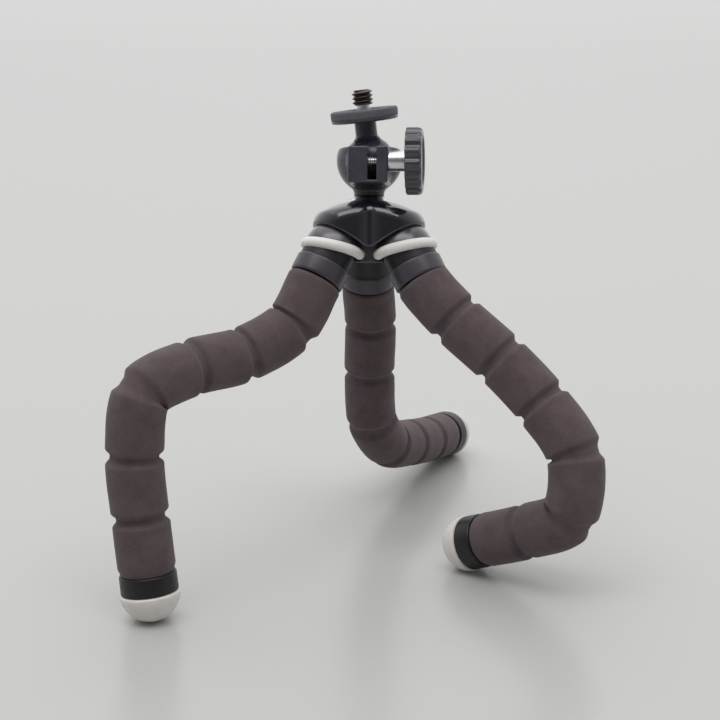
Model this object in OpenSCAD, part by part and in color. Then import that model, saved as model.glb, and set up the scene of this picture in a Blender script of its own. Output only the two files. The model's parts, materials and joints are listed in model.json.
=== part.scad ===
// Flexible leg tripod: a ball head on a three-lobed hub with three bendable foam legs.
// Millimetres. It stands on z = 0 in its shown pose, with +Y away from the clamp ears.

/* [Legs] */
// Diameter of a foam sleeve
foam_d = 16.6; // [15:0.1:18]
// Distance between two grooves
groove_pitch = 17.9; // [16.5:0.1:21]
// Length of a sleeve from the hub collar to its first groove
first_length = 15.4; // [14.5:0.1:19]
// Length of a sleeve from its last groove to the foot
last_length = 16.2; // [14.5:0.1:19]
// Depth of a groove
groove_depth = 1.1; // [0.7:0.1:1.6]
// Width of a groove's floor
groove_floor = 2.0; // [1.6:0.1:3]
// Rounding of a groove's shoulders
groove_round = 1.0; // [0.5:0.1:1.4]
// Diameter of the core wire
wire_d = 3.0; // [2:0.1:3.6]
// Clearance round the core wire
wire_gap = 0.5; // [0.4:0.05:0.7]
// Distance from the core wire's end to the foot's dome
wire_stop = 2; // [1:0.1:3]

/* [Feet] */
// Diameter of a foot's black collar
foot_collar_d = 16.5; // [15:0.1:17]
// Length of a foot's black collar
foot_collar_length = 5.7; // [4.5:0.1:8]
// Diameter of a foot's white dome
foot_d = 17.5; // [17:0.1:19]
// How far a soft foot is pressed flat on the table
foot_flat = 0.2; // [0.1:0.05:0.4]
// Diameter of the plug that holds a foot in its collar
foot_plug_d = 11; // [8:0.1:12]
// Length of that plug
foot_plug_length = 3.4; // [2.5:0.1:4]

/* [Motion] */
// Degrees that a groove bends on from the shown pose
extra_bend = 10; // [4:1:12]
// Degrees that a groove bends back past straight
back_bend = 8; // [2:1:10]
// Degrees that a leg bends at its collar, each way past the shown pose and straight
root_bend = 5; // [2:1:8]
// Degrees that a groove's mitre opens beyond its bend
mitre_spare = 1; // [0.5:0.5:2]

/* [Hub] */
// Backward lean of the hub in degrees
hub_lean = 14; // [0:1:20]
// Distance of a leg's start from the hub's axis
root_reach = 18.5; // [17.5:0.1:20.5]
// Depth of a leg's start below the hub's centre
root_drop = 10; // [9:0.1:11]
// Outward tilt of a leg collar in degrees
exit_tilt = 29.5; // [26:0.5:33]
// Diameter of a leg collar
collar_d = 16.5; // [16:0.1:17.2]
// Length of a leg collar
collar_length = 5.9; // [5:0.1:7]
// Diameter of the spigot inside a leg collar
spigot_d = 12; // [9:0.1:13]
// Length of that spigot
spigot_length = 3.6; // [2.5:0.1:4]
// Distance from a collar to the middle of its knuckle
knuckle_rise = 7.15; // [6.5:0.05:8]
// Diameter of a knuckle
knuckle_d = 17.4; // [16.8:0.1:18]
// Tilt of the white bands in degrees
band_tilt = 14; // [10:0.5:18]
// Thickness of a white band
band_thick = 3.2; // [2.4:0.1:3.6]
// How far a band stands proud of its knuckle
band_proud = 1.3; // [0.8:0.1:1.6]
// Distance of a band below the middle of its knuckle
band_drop = 1.9; // [1.4:0.1:2.4]
// Diameter of a knuckle below its band
wedge_d = 15.6; // [14.6:0.1:16.2]

/* [Hood] */
// Height of a lobe's flat top above the hub's centre
lobe_top = 13.8; // [13.2:0.1:14.4]
// Outward fall of a lobe's top in degrees
lobe_fall = 5; // [3:0.5:7]
// Rounding of a lobe's upper rim
lobe_round = 4; // [3:0.1:5]
// Diameter of one lobe of the hood
lobe_d = 21; // [20:0.1:22]
// Distance of a lobe's middle from the hub's axis
lobe_reach = 7.6; // [7:0.1:8.2]
// Upward slope of a lobe's visor edge in degrees
visor_slope = 33; // [30:0.5:36]
// Height of the visor edge at a lobe's tip
visor_height = 7.4; // [6.9:0.1:8]
// Height of the blunt tip between two lobes
valley_height = 0.2; // [-0.2:0.1:0.8]
// Wall thickness of the hood
hood_wall = 1.5; // [1.1:0.1:2]
// Diameter of the boss under the neck
boss_d = 12; // [11:0.1:13]
// Diameter of the post inside the hood, which stands on the core
post_d = 11.6; // [10:0.1:12.2]
// Diameter of the hub body's core
core_d = 17; // [15:0.1:18]
// Height of the core's top, where the hood's post stands
core_top = 7; // [6:0.1:8]
// Depth of the core's underside
core_bottom = 4; // [3:0.1:5]

/* [Ball head] */
// Height of the ball's middle above the hub's centre
ball_height = 27; // [26.4:0.1:29]
// Diameter of the ball
ball_d = 15.2; // [14.4:0.1:15.8]
// Wall thickness of the cup
cup_wall = 2.4; // [2:0.1:3]
// Height of the cup's rim above the ball's middle
cup_rim = 3.6; // [3:0.1:4]
// Diameter of the cup's mouth
mouth_d = 14.2; // [13.8:0.1:14.4]
// Diameter of the cup's neck
neck_d = 9.2; // [8.4:0.1:10]
// Height of the neck's foot above the hub's centre
neck_foot = 16; // [15.6:0.1:16.6]
// Diameter of the stem
stem_d = 6.6; // [6:0.1:7]
// Height of the platform's underside above the ball's middle
plate_height = 12; // [11.6:0.1:14]
// Diameter of the platform
plate_d = 20.5; // [19:0.1:21.5]
// Thickness of the platform's lower disc
plate_thick = 1.1; // [0.8:0.1:1.6]
// Thickness of the rubber facing
pad_thick = 2.6; // [2:0.1:3.2]
// Depth of the facing's dished middle
pad_dish = 0.3; // [0.1:0.05:0.5]
// Diameter of that dished middle
pad_dish_d = 10.2; // [8:0.1:14]
// Rounding of the facing's edge
pad_round = 0.7; // [0.4:0.1:0.9]
// Diameter of the camera screw (1/4 inch)
stud_d = 6.35; // [5:0.05:6.6]
// Height of the camera screw above the facing
stud_length = 5.8; // [5:0.1:7]
// Height of the smooth neck under the camera screw's thread
stud_neck = 1.4; // [0.8:0.1:1.8]
// Depth of the neck's undercut below the thread
stud_undercut = 1.1; // [0.6:0.1:1.4]
// Chamfer at the camera screw's tip
stud_lead = 0.6; // [0.3:0.1:0.9]
// Sideways tilt of the platform in degrees
plate_side_tilt = 7; // [0:1:12]
// Forward tilt of the platform in degrees, from the hub's axis
plate_fore_tilt = 10; // [0:1:12]

/* [Clamp] */
// Turn of the cup and its clamp on the hub's axis in degrees
cup_turn = -6; // [-10:1:10]
// Width of the ear that holds the nut
nut_ear = 5.9; // [5.4:0.1:6.6]
// Width of the ear beside the knob
knob_ear = 3.4; // [3:0.1:4.4]
// Width of the clamp slot
slot_w = 2.6; // [2:0.1:3.2]
// Sideways offset of the clamp slot
slot_offset = 2.2; // [1.6:0.1:2.6]
// Reach of the ears in front of the ball's middle
ear_reach = 15.5; // [15:0.1:17]
// Height of the ears above the ball's middle
ear_top = 2.8; // [2.4:0.1:3.2]
// Depth of the ears below the ball's middle
ear_bottom = 8; // [7.4:0.1:8.6]
// Thickness of the bridge that closes the slot's lower end
slot_bridge = 0.8; // [0.6:0.1:1.4]
// Distance of the clamp screw in front of the ball's middle
screw_reach = 12.2; // [12:0.1:12.6]
// Distance of the clamp screw below the ball's middle
screw_drop = 1.5; // [1:0.1:2]
// Diameter of the clamp screw
screw_d = 3; // [2.6:0.1:3.4]
// Length of the clamp screw inside the knob
screw_grip = 3.3; // [2.5:0.1:4]
// Width across the flats of the nut
nut_flats = 5.5; // [5:0.1:6]
// Thickness of the nut
nut_thick = 2.4; // [2:0.1:3]
// How far the nut stands out of its ear
nut_proud = 0.7; // [0.4:0.1:1]
// Diameter of the bright boss beside the knob
sleeve_d = 6.1; // [5.6:0.1:7]
// Length of that boss
sleeve_length = 5.3; // [4.8:0.1:6]
// Diameter of the knob
knob_d = 20; // [18:0.1:20.4]
// Thickness of the knob
knob_thick = 5; // [4.6:0.1:6]
// Chamfer of the knob's outer edge
knob_chamfer = 0.8; // [0.5:0.1:1.2]
// Number of flutes round the knob
knob_flutes = 16; // [12:1:18]
// Diameter of a flute
flute_d = 2.6; // [2:0.1:3]
// Depth of a flute
flute_depth = 0.7; // [0.4:0.1:0.9]
// Diameter of the recess in the knob's face
knob_recess_d = 15; // [12:0.1:16]
// Depth of that recess
knob_recess = 0.5; // [0.3:0.1:0.8]

/* [Fasteners and fits] */
// Diameter of the bolt that holds the head
bolt_d = 5; // [4:0.1:5]
// Diameter of that bolt's head
bolt_head_d = 8.5; // [7.5:0.1:9]
// Height of that bolt's head
bolt_head_h = 3; // [2:0.1:4]
// Width across the flats of the bolt's socket
bolt_socket = 4; // [3:0.1:4]
// Depth of that socket
bolt_socket_depth = 1.5; // [1:0.1:2]
// Diameter of the washer under the bolt's head
washer_d = 11; // [10:0.1:12]
// Thickness of that washer
washer_thick = 1; // [0.8:0.1:1.5]
// Distance from the bolt's end to the ball
bolt_stop = 0.8; // [0.6:0.1:1.4]
// Clearance between pieces that are fixed together
fit_gap = 0.1; // [0.05:0.01:0.15]
// Clearance between pieces that move
joint_gap = 0.3; // [0.2:0.05:0.4]

/* [Hidden] */
$fn = 64;
foam_color = [0.29, 0.26, 0.26];
plastic_color = [0.09, 0.09, 0.11];
white_color = [0.93, 0.90, 0.86];
metal_color = [0.75, 0.76, 0.78];
rubber_color = [0.20, 0.20, 0.21];

SIDES = ["left", "right", "back"];
SEGMENTS = 7;
// Direction in which each leg leaves the hub, in degrees from +X
leg_heading = [210, 330, 90];
// Direction of each segment of a leg in the shown pose: [heading, descent] in degrees
leg_pose = [
    [[217, 55], [213, 22], [218, 3], [225, 14], [216, 80], [314, 84], [310, 80]],
    [[329, 41], [334, 36], [330, 40], [318, 46], [248, 80], [136, 32], [142, 24]],
    [[80, 69], [92, 77], [75, 78], [65, 44], [65, 17], [65, 13], [65, 10]]];

foam_r = foam_d / 2;
floor_r = foam_r - groove_depth;
socket_r = floor_r + joint_gap;
wire_r = wire_d / 2;
collar_r = collar_d / 2;
knuckle_r = knuckle_d / 2;
foot_r = foot_d / 2;
ball_r = ball_d / 2;
ball_gap = joint_gap / 2;
cup_r = ball_r + cup_wall;
plate_r = plate_d / 2;
stem_r = stem_d / 2;
lobe_r = lobe_d / 2;
// Side of a cutting block
big = 80;
// How far a cut runs past the face it opens
over = 1;

// Directions and turns

function unit(v) = v / norm(v);
function turn(v, axis, angle) =
    v * cos(angle) + cross(axis, v) * sin(angle) + axis * (axis * v) * (1 - cos(angle));
function angle_between(a, b) = atan2(norm(cross(a, b)), a * b);
function aim(heading, descent) =
    [cos(heading) * cos(descent), sin(heading) * cos(descent), -sin(descent)];

// Leg chains, in the hub's frame before the tripod is set down

function lean(v) = turn(v, [1, 0, 0], -hub_lean);
function root_point(i) =
    lean([root_reach * cos(leg_heading[i]), root_reach * sin(leg_heading[i]), -root_drop]);
function root_aim(i) = lean(aim(leg_heading[i], 90 - exit_tilt));
function segment_length(k) = k == 1 ? first_length : k == SEGMENTS ? last_length : groove_pitch;
aims = [for (i = [0:2]) concat([root_aim(i)], [for (a = leg_pose[i]) aim(a[0], a[1])])];
// Point 0 is at the collar, points 1 to 6 in the grooves, point 7 at the foot
pivots = [for (i = [0:2])
    [for (k = 0, p = root_point(i); k <= SEGMENTS;
          k = k + 1, p = k <= SEGMENTS ? p + segment_length(k) * aims[i][k] : p) p]];
function hinge(i, k) = unit(cross(aims[i][k], aims[i][k + 1]));
function bend(i, k) = angle_between(aims[i][k], aims[i][k + 1]);
function bend_on(k) = k == 0 ? root_bend : extra_bend;
function bend_back(k) = k == 0 ? root_bend : back_bend;
foot_points = [for (i = [0:2]) pivots[i][SEGMENTS] + foot_collar_length * aims[i][SEGMENTS]];

// Setting down: the plane through the three feet becomes the table

table_up = unit(cross(foot_points[1] - foot_points[0], foot_points[2] - foot_points[0]));
tip_angle = angle_between(table_up, [0, 0, 1]);
tip_axis = tip_angle > 0 ? unit(cross(table_up, [0, 0, 1])) : [1, 0, 0];
function tipped(v) = turn(v, tip_axis, tip_angle);
reach_points = [for (i = [0:2]) for (k = [1:SEGMENTS]) tipped(pivots[i][k])];
foot_places = [for (p = foot_points) tipped(p)];
function low(a, axis, r) = min([for (p = a) p[axis]]) - r;
function high(a, axis, r) = max([for (p = a) p[axis]]) + r;
function middle(axis) =
    (min(low(reach_points, axis, foam_r), low(foot_places, axis, foot_r))
     + max(high(reach_points, axis, foam_r), high(foot_places, axis, foot_r))) / 2;
set_down = [-middle(0), -middle(1), foot_r - foot_flat - foot_places[0][2]];
function placed(p) = tipped(p) + set_down;

module seated() {
    translate(set_down) rotate(a = tip_angle, v = tip_axis) children();
}

module hub_frame() {
    seated() rotate([-hub_lean, 0, 0]) children();
}

module leg_root(i) {
    hub_frame() rotate([0, 0, leg_heading[i]]) children();
}

// Origin at p, z along direction z and x along direction x
module place(p, x, z) {
    y = cross(z, x);
    multmatrix([[x[0], y[0], z[0], p[0]], [x[1], y[1], z[1], p[1]], [x[2], y[2], z[2], p[2]]])
        children();
}

// At hinge k of leg i, z along segment s and x to the inside of the bend
module at_hinge(i, k, s) {
    place(pivots[i][k], cross(hinge(i, k), aims[i][s]), aims[i][s]) children();
}

// Collar frame of a leg root: origin at the leg's start, z up the collar towards the hub
module collar_frame(i) {
    leg_root(i) translate([root_reach, 0, -root_drop]) rotate([0, -exit_tilt, 0]) children();
}

knuckle_up = collar_length + knuckle_rise;
knuckle_reach = root_reach - knuckle_up * sin(exit_tilt);
knuckle_height = knuckle_up * cos(exit_tilt) - root_drop;

// Band frame of a leg root: origin in the middle of the knuckle, z up the knuckle's axis
module band_frame(i) {
    leg_root(i) translate([knuckle_reach, 0, knuckle_height]) rotate([0, -band_tilt, 0]) children();
}

module ball_frame() {
    hub_frame() translate([0, 0, ball_height]) children();
}

module cup_frame() {
    ball_frame() rotate([0, 0, cup_turn]) children();
}

module head_frame() {
    ball_frame() rotate([plate_fore_tilt, -plate_side_tilt, 0]) children();
}

// Clamp screw's frame: z along the screw towards the knob
module clamp_frame() {
    cup_frame() translate([0, -screw_reach, -screw_drop]) rotate([0, 90, 0]) children();
}

module half_space() {
    translate([-big / 2, -big / 2, 0]) cube(big);
}

module bar(r, from, to) {
    translate([0, 0, from]) cylinder(r = r, h = to - from);
}

module tube(outer, inner, from, to) {
    difference() {
        bar(outer, from, to);
        bar(inner, from - over, to + over);
    }
}

// Foam legs

bore_r = wire_r + wire_gap;
slot_r = bore_r - joint_gap / 2;

// Half of the barrel's outline, with a rounded shoulder beside each groove
module foam_outline(from, to, from_round, to_round) {
    difference() {
        translate([0, from]) square([foam_r, to - from]);
        if (from_round > 0) shoulder_cut(from, 1, from_round);
        if (to_round > 0) shoulder_cut(to, -1, to_round);
    }
}

module shoulder_cut(at, way, r) {
    translate([foam_r - r, at]) scale([1, way]) difference() {
        translate([0, -over]) square([r + over, r + over]);
        translate([0, r]) circle(r = r);
        translate([-r, r]) square([2 * r, r]);
    }
}

// The groove's floor is a ball, so that it stays round at every bend
module floor_ball(i, k) {
    translate(pivots[i][k]) sphere(r = floor_r);
}

// Slot in that ball, through which the wire swings as the leg bends
module wire_slot(i, k) {
    place(pivots[i][k], turn(aims[i][k], hinge(i, k), -bend_back(k)), hinge(i, k))
        translate([0, 0, -slot_r]) linear_extrude(2 * slot_r)
            slot_outline(bend_back(k) + bend(i, k) + bend_on(k), floor_r + over);
}

// A fan from the wire's first direction, along x, to its last one
module slot_outline(sweep, reach) {
    first = [1, 0];
    last = [cos(sweep), sin(sweep)];
    last_side = [-sin(sweep), cos(sweep)];
    polygon([
        slot_r * [-1, -1],
        reach * first - slot_r * [0, 1],
        reach / cos(sweep / 2) * [cos(sweep / 2), sin(sweep / 2)],
        reach * last + slot_r * last_side,
        slot_r * (last_side - last)]);
}

module foam_segment(i, k) {
    last = k == SEGMENTS;
    length = segment_length(k);
    start = k == 1 ? joint_gap : groove_floor / 2;
    end = last ? length : length - groove_floor / 2;
    start_fold = bend(i, k - 1) + bend_on(k - 1) + mitre_spare;
    end_fold = last ? 0 : bend(i, k) + bend_on(k) + mitre_spare;
    color(foam_color) seated() difference() {
        union() {
            difference() {
                at_hinge(i, k - 1, k)
                    rotate_extrude()
                        foam_outline(start, end, k == 1 ? 0 : groove_round, last ? 0 : groove_round);
                at_hinge(i, k - 1, k) start_mitre(k == 1 ? 2 * start_fold : start_fold);
                if (k == 1) at_hinge(i, 0, 1) start_mitre(-2 * (bend_back(0) + mitre_spare));
                if (!last) at_hinge(i, k, k) end_mitre(end_fold);
            }
            if (!last) floor_ball(i, k);
        }
        translate(pivots[i][k - 1]) sphere(r = socket_r);
        at_hinge(i, k - 1, k) bar(bore_r, 0, length + bore_r);
        if (!last) wire_slot(i, k);
    }
}

// What the inside of a bend gives up, on each side of a groove
module start_mitre(fold) {
    rotate([0, -fold / 2, 0]) translate([0, 0, joint_gap / 2]) mirror([0, 0, 1]) half_space();
}

module end_mitre(fold) {
    rotate([0, fold / 2, 0]) translate([0, 0, -joint_gap / 2]) half_space();
}

// Core wire: one tube of straight runs with mitred bends, from the hub's knuckle into the foot
wire_root = collar_length + spigot_length;
wire_tip = foot_collar_length - wire_stop;
wire_sides = 12;

function wire_end(i) = pivots[i][SEGMENTS] + wire_tip * aims[i][SEGMENTS];
function wire_start_ring(i) =
    let (z = aims[i][0], y = hinge(i, 0), x = cross(y, z), p = pivots[i][0] - wire_root * z)
    [for (a = [0:360 / wire_sides:359]) p + wire_r * (cos(a) * x + sin(a) * y)];
// A ring slid along direction d onto the plane through p with normal n
function slid(ring, d, p, n) = [for (q = ring) q + d * (((p - q) * n) / (d * n))];
function wire_next_ring(i, k, ring) =
    k < SEGMENTS
        ? slid(ring, aims[i][k], pivots[i][k], aims[i][k] + aims[i][k + 1])
        : slid(ring, aims[i][k], wire_end(i), aims[i][k]);
function wire_rings(i) =
    [for (k = 0, ring = wire_start_ring(i); k <= SEGMENTS + 1;
          ring = k <= SEGMENTS ? wire_next_ring(i, k, ring) : ring, k = k + 1) ring];

module wire(i) {
    rings = wire_rings(i);
    n = wire_sides;
    last = len(rings) - 1;
    color(metal_color) seated() polyhedron(
        points = [for (ring = rings) for (q = ring) q],
        faces = concat(
            [[for (s = [0:n - 1]) s]],
            [for (j = [0:last - 1]) for (s = [0:n - 1])
                [(j + 1) * n + s, (j + 1) * n + (s + 1) % n, j * n + (s + 1) % n, j * n + s]],
            [[for (s = [n - 1:-1:0]) last * n + s]]));
}

// Feet

module foot_frame(i) {
    place(pivots[i][SEGMENTS], cross(hinge(i, SEGMENTS - 1), aims[i][SEGMENTS]), aims[i][SEGMENTS])
        children();
}

foot_plug_from = foot_collar_length - foot_plug_length;

module foot_collar(i) {
    color(plastic_color) seated() foot_frame(i) difference() {
        bar(foot_collar_d / 2, 0, foot_collar_length);
        bar(wire_r + joint_gap, -over, foot_collar_length);
        bar(foot_plug_d / 2 + fit_gap, foot_plug_from - fit_gap, foot_collar_length + over);
    }
}

module foot_cap(i) {
    color(white_color) difference() {
        seated() foot_frame(i) difference() {
            union() {
                intersection() {
                    translate([0, 0, foot_collar_length]) sphere(r = foot_r);
                    translate([0, 0, foot_collar_length]) half_space();
                }
                bar(foot_plug_d / 2, foot_plug_from, foot_collar_length + over);
            }
            bar(wire_r + joint_gap, 0, wire_tip + joint_gap);
        }
        mirror([0, 0, 1]) translate([-big, -big, 0]) cube(2 * big);
    }
}

// Hub

// Half of a collar's outline: a sleeve with the leg's first groove as a ball under it
module collar_outline() {
    difference() {
        union() {
            translate([0, joint_gap]) square([collar_r, collar_length - joint_gap]);
            intersection() {
                circle(r = floor_r);
                translate([0, -floor_r]) square([floor_r, floor_r + collar_length / 2]);
            }
        }
        translate([-over, collar_length - spigot_length - fit_gap])
            square([spigot_d / 2 + fit_gap + over, spigot_length + over]);
        translate([-over, 0]) square([bore_r + over, collar_length]);
    }
}

module collar(i) {
    color(plastic_color) difference() {
        collar_frame(i) rotate_extrude() collar_outline();
        seated() wire_slot(i, 0);
    }
}

module band_ring(i, r) {
    band_frame(i) translate([0, 0, -band_drop]) rotate_extrude()
        translate([knuckle_r + band_proud - band_thick / 2, 0]) circle(r = r);
}

// A band is open where the hub's core passes through it
module band(i) {
    color(white_color) difference() {
        band_ring(i, band_thick / 2);
        hub_frame() bar(core_d / 2 + fit_gap, -big / 2, big / 2);
    }
}

module band_groove(i) {
    difference() {
        band_ring(i, band_thick / 2 + fit_gap);
        hub_frame() bar(core_d / 2, -big / 2, big / 2);
    }
}

module above_visor(i, drop) {
    leg_root(i) translate([lobe_reach + lobe_r, 0, visor_height - drop]) rotate([0, -visor_slope, 0])
        half_space();
}

// A lobe is a round tower with a rounded rim, which leans out a little
module hood_lobe(i, inset) {
    leg_root(i) translate([lobe_reach, 0, lobe_top]) rotate([0, lobe_fall, 0])
        rotate_extrude() lobe_outline(inset);
}

// Half of that tower's outline, from its flat top down
module lobe_outline(inset) {
    translate([0, -big / 2]) square([lobe_r - inset, big / 2 - lobe_round]);
    translate([0, -lobe_round - over]) square([lobe_r - lobe_round, lobe_round + over - inset]);
    intersection() {
        translate([lobe_r - lobe_round, -lobe_round]) circle(r = lobe_round - inset);
        translate([lobe_r - lobe_round, -lobe_round]) square(lobe_round);
    }
}

module hub_cap() {
    color(plastic_color) difference() {
        union() {
            difference() {
                intersection() {
                    union() for (i = [0:2]) hood_lobe(i, 0);
                    above_visor(0, 0);
                    above_visor(1, 0);
                    above_visor(2, 0);
                    hub_frame() translate([0, 0, valley_height]) half_space();
                }
                for (i = [0:2]) hood_lobe(i, hood_wall);
            }
            hub_frame() bar(post_d / 2, core_top, boss_from);
            hub_frame() boss();
        }
        hub_frame() bar(bolt_d / 2 + fit_gap, 0, neck_foot + over);
        ball_frame() sphere(r = cup_r + fit_gap);
    }
}

// Cone that carries the neck, from inside the hood's wall
boss_from = lobe_top - hood_wall / 2;

module boss() {
    translate([0, 0, boss_from]) cylinder(d1 = boss_d, d2 = neck_d, h = neck_foot - boss_from);
}

module knuckle(i) {
    intersection() {
        union() {
            knuckle_dome(i);
            knuckle_wedge(i);
            collar_frame(i) bar(spigot_d / 2, collar_length - spigot_length, knuckle_up);
        }
        union() {
            difference() {
                hub_frame() translate([0, 0, -big / 2]) half_space();
                above_visor(i, fit_gap);
            }
            hood_lobe(i, hood_wall + fit_gap);
        }
    }
}

module knuckle_dome(i) {
    band_frame(i) translate([0, 0, -band_drop]) intersection() {
        rotate([90, 0, 0]) sphere(r = knuckle_r);
        half_space();
    }
}

// Between the band's plane and the top of the collar
module knuckle_wedge(i) {
    difference() {
        collar_frame(i) bar(wedge_d / 2, collar_length, knuckle_up);
        band_frame(i) translate([0, 0, -band_drop]) half_space();
    }
}

module hub_body() {
    color(plastic_color) difference() {
        union() {
            hub_frame() bar(core_d / 2, -core_bottom, core_top);
            for (i = [0:2]) knuckle(i);
        }
        for (i = [0:2]) {
            band_groove(i);
            collar_frame(i) bar(wire_r + fit_gap, 0, wire_root + fit_gap);
        }
        hub_frame() bar(post_d / 2 + fit_gap, core_top, lobe_top);
        hub_frame() bar(bolt_d / 2 + fit_gap, -core_bottom - over, core_top + over);
        hub_frame() bar(washer_d / 2 + fit_gap, -core_bottom - over, recess_top);
    }
}

// Recess under the core that hides the washer and the bolt's head
recess_top = -core_bottom + washer_thick + bolt_head_h;

module head_washer() {
    color(metal_color) hub_frame()
        tube(washer_d / 2, bolt_d / 2 + fit_gap, recess_top - washer_thick, recess_top);
}

// The bolt ends under the ball, inside the cup's neck
bolt_end = ball_height - ball_r - bolt_stop;

module head_bolt() {
    color(metal_color) hub_frame() difference() {
        union() {
            bar(bolt_head_d / 2, recess_top - washer_thick - bolt_head_h, recess_top - washer_thick);
            bar(bolt_d / 2, recess_top - washer_thick - bolt_head_h / 2, bolt_end);
        }
        translate([0, 0, recess_top - washer_thick - bolt_head_h - over])
            hexagon(bolt_socket, bolt_socket_depth + over);
    }
}

// Ball head

ear_left = slot_offset - slot_w / 2 - nut_ear;
ear_right = slot_offset + slot_w / 2 + knob_ear;

module ear_block() {
    translate([ear_left, -ear_reach, -ear_bottom])
        cube([ear_right - ear_left, ear_reach - ball_r / 2, ear_bottom + ear_top]);
}

module ball_cup() {
    color(plastic_color) difference() {
        cup_frame() difference() {
            union() {
                intersection() {
                    sphere(r = cup_r);
                    translate([0, 0, cup_rim]) mirror([0, 0, 1]) half_space();
                }
                bar(neck_d / 2, neck_foot - ball_height, -ball_r - cup_wall / 2);
                ear_block();
            }
            sphere(r = ball_r + ball_gap);
            bar(mouth_d / 2, 0, big);
            translate([slot_offset - slot_w / 2, -ear_reach - over, slot_bridge - ear_bottom])
                cube([slot_w, ear_reach + over - ball_r / 2, ear_bottom + ear_top]);
            bar(bolt_d / 2 + fit_gap, neck_foot - ball_height - over, bolt_end - ball_height + fit_gap);
        }
        clamp_frame() bar(screw_d / 2 + joint_gap, ear_left - over, ear_right + over);
        clamp_frame() translate([0, 0, ear_left - over]) hexagon(nut_flats + 2 * fit_gap, nut_seat + over);
    }
}

// Depth of the nut's pocket
nut_seat = nut_thick - nut_proud;

module hexagon(flats, h) {
    cylinder(d = flats / cos(30), h = h, $fn = 6);
}

module clamp_nut() {
    color(metal_color) clamp_frame() difference() {
        translate([0, 0, ear_left - nut_proud]) hexagon(nut_flats, nut_thick);
        bar(screw_d / 2 + fit_gap, ear_left - nut_proud - over, ear_right);
    }
}

sleeve_end = ear_right + sleeve_length;

module clamp_boss() {
    color(metal_color) clamp_frame()
        tube(sleeve_d / 2, screw_d / 2 + fit_gap, ear_right, sleeve_end);
}

module clamp_screw() {
    color(metal_color) clamp_frame()
        bar(screw_d / 2, ear_left - nut_proud, sleeve_end + screw_grip);
}

module clamp_knob() {
    color(plastic_color) clamp_frame() difference() {
        union() {
            bar(knob_d / 2, sleeve_end, sleeve_end + knob_thick - knob_chamfer);
            translate([0, 0, sleeve_end + knob_thick - knob_chamfer])
                cylinder(d1 = knob_d, d2 = knob_d - 2 * knob_chamfer, h = knob_chamfer);
        }
        for (a = [0:360 / knob_flutes:359])
            rotate([0, 0, a]) translate([(knob_d + flute_d) / 2 - flute_depth, 0, sleeve_end - over])
                cylinder(d = flute_d, h = knob_thick + 2 * over);
        bar(screw_d / 2 + fit_gap / 2, sleeve_end - over, sleeve_end + screw_grip);
        bar(knob_recess_d / 2, sleeve_end + knob_thick - knob_recess, sleeve_end + knob_thick + over);
    }
}

module ball() {
    color(plastic_color) ball_frame() sphere(r = ball_r);
}

stud_root = plate_height - pad_thick;

module stem() {
    color(plastic_color) head_frame() difference() {
        bar(stem_r, 0, plate_height);
        sphere(r = ball_r + ball_gap);
        bar(stud_neck_r + joint_gap, stud_root - joint_gap, plate_height + over);
    }
}

stud_neck_r = stud_d / 2 - stud_undercut;
pad_top = plate_height + plate_thick + pad_thick;

module camera_plate() {
    color(plastic_color) head_frame()
        tube(plate_r, stud_neck_r + fit_gap, plate_height, plate_height + plate_thick);
}

module plate_pad() {
    color(rubber_color) head_frame() difference() {
        rotate_extrude() difference() {
            translate([stud_neck_r + fit_gap, plate_height + plate_thick])
                square([plate_r - stud_neck_r - fit_gap, pad_thick]);
            translate([plate_r - pad_round, pad_top - pad_round]) difference() {
                square(pad_round + over);
                circle(r = pad_round);
            }
        }
        bar(pad_dish_d / 2, pad_top - pad_dish, pad_top + over);
    }
}

module camera_stud() {
    color(plastic_color) head_frame() union() {
        bar(stud_neck_r, stud_root, pad_top + stud_neck);
        bar(stud_d / 2, pad_top + stud_neck, pad_top + stud_length - stud_lead);
        translate([0, 0, pad_top + stud_length - stud_lead])
            cylinder(r1 = stud_d / 2, r2 = stud_d / 2 - stud_lead, h = stud_lead);
    }
}

camera_stud();
plate_pad();
camera_plate();
stem();
ball();
ball_cup();
clamp_nut();
clamp_screw();
clamp_boss();
clamp_knob();
head_bolt();
head_washer();
hub_cap();
hub_body();
for (i = [0:2]) {
    band(i);
    collar(i);
    wire(i);
    foot_collar(i);
    foot_cap(i);
    for (k = [1:SEGMENTS]) {
        foam_segment(i, k);
    }
}
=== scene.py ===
"""Looks of a flexible leg tripod: grooved foam legs, a glossy three-lobed hub and a ball head.

Sizes are in millimetres, as in the part's source, and meshes are written in metres.
"""

import json
import math

import bpy
import numpy as np
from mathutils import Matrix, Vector, noise


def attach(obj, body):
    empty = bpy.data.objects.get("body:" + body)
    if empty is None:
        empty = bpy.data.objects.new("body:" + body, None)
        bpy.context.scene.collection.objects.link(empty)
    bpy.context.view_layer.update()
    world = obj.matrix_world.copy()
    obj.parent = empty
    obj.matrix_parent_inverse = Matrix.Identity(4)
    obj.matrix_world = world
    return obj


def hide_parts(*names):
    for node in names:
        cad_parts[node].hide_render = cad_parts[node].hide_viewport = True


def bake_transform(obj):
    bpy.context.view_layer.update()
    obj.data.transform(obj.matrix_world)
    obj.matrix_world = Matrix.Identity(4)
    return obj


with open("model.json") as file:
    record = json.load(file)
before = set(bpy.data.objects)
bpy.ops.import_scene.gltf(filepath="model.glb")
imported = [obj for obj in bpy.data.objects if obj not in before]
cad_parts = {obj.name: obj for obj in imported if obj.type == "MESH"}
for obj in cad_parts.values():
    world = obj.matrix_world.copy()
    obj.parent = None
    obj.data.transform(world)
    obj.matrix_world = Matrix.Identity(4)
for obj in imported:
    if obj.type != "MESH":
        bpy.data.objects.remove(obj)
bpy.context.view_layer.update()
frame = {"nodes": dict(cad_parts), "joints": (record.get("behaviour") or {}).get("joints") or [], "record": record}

MM = 0.001
NODES = frame["nodes"]
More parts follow.
